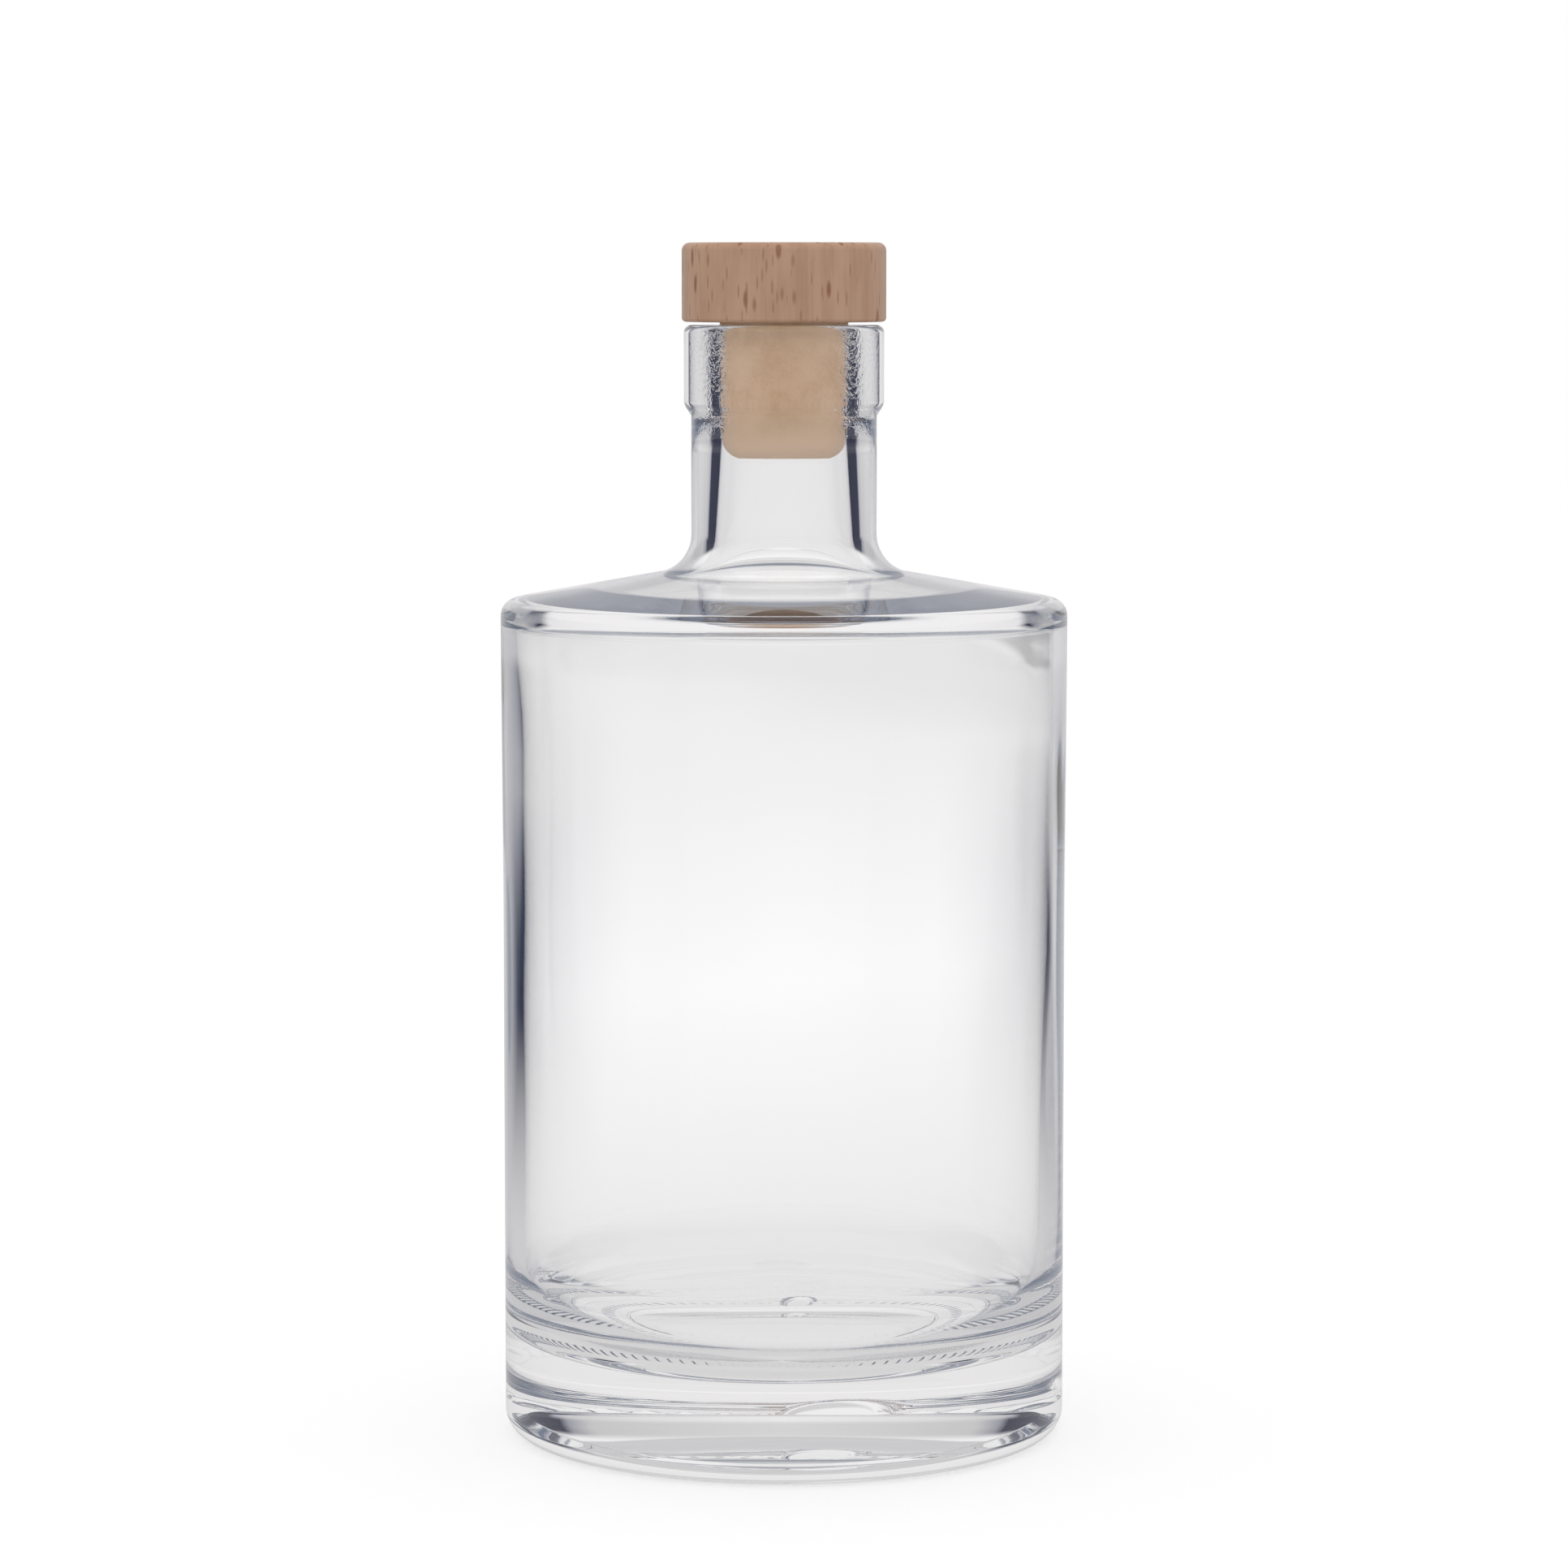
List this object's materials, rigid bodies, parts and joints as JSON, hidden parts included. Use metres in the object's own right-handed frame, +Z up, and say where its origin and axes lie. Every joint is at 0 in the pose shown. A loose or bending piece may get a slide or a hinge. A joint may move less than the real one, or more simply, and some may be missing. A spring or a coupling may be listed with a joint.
{
  "type": "glass bottle",
  "caption": "Squat round clear-glass bottle with a low sloping shoulder and a short ringed neck, closed by a wooden stopper on a synthetic-cork shank.",
  "frame": {"origin": "centre of the ring that the bottle stands on, in the plane of the surface under it", "axes": "+Z up along the bottle's axis; X and Y are alike, because the bottle is round"},
  "size_m": [0.0838, 0.0838, 0.1769],
  "materials": {
    "clear_glass": "clear, smooth, gloss",
    "beech": "turned, fine sanded, unvarnished",
    "synthetic_cork": "matt, foamed, smooth skin"
  },
  "bodies": {
    "bottle": {"glass_bottle": "clear_glass"},
    "stopper": {"stopper_head": "beech", "stopper_shank": "synthetic_cork"}
  },
  "joints": [
    {"name": "stopper_pull", "type": "slide", "parent": "bottle", "child": "stopper", "axis": [0, 0, 1], "range_m": [0, 0.03]}
  ]
}
